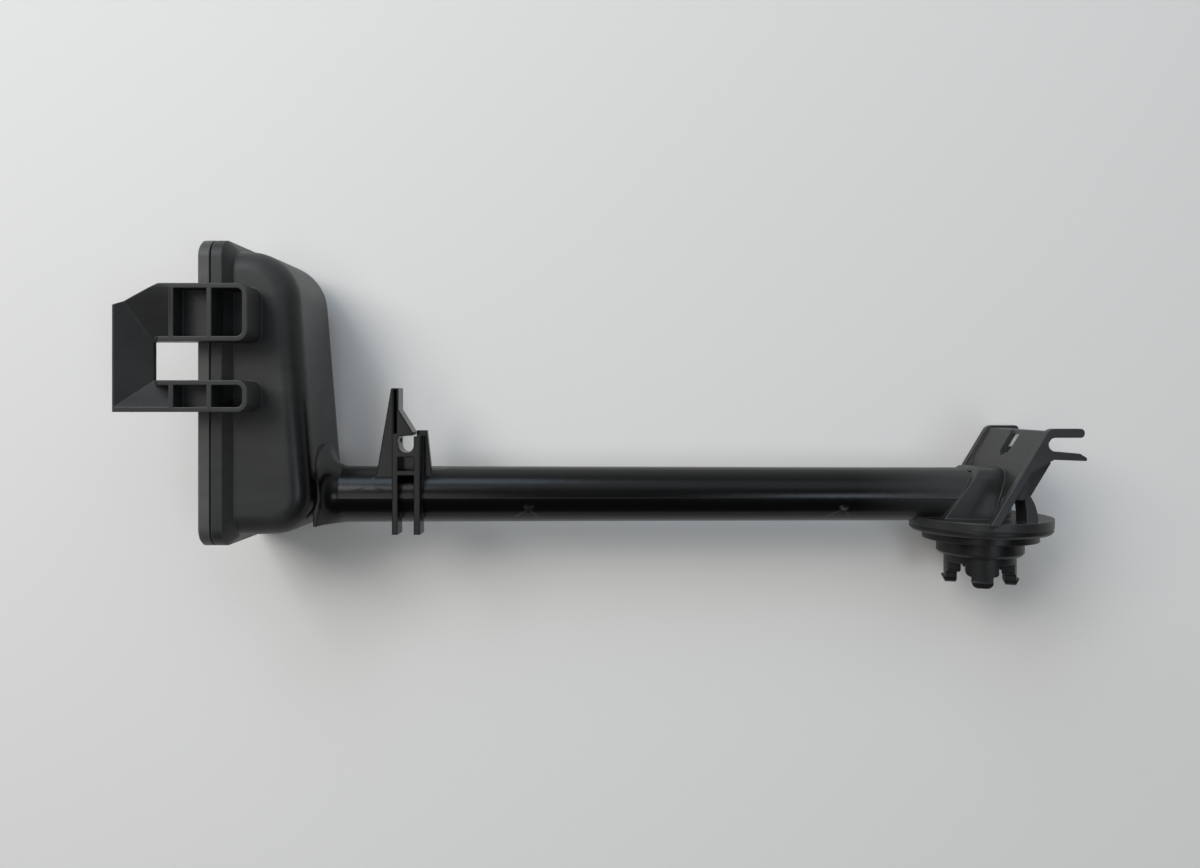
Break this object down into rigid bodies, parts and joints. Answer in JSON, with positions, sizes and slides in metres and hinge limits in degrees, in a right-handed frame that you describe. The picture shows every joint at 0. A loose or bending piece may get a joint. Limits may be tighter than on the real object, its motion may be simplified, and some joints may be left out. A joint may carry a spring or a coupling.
{
  "type": "dishwasher water manifold",
  "caption": "Moulded water manifold for an upper dishwasher rack: a docking hood with a guide loop feeds a long tube that turns down into a hub with snap fingers for a spray arm.",
  "frame": {"origin": "on the spray arm's axis, in the plane where the hub is welded under the body's disc", "axes": "+X along the feed tube away from the docking hood, +Y up in the machine, +Z up as the part lies"},
  "size_m": [0.309, 0.1158, 0.0573],
  "materials": {
    "body_plastic": "satin black polypropylene",
    "frame_plastic": "satin black polypropylene with a fine grain",
    "hub_plastic": "satin black polypropylene"
  },
  "bodies": {
    "root": {"manifold_body": "body_plastic", "docking_frame": "frame_plastic", "spray_arm_hub": "hub_plastic"}
  },
  "joints": []
}
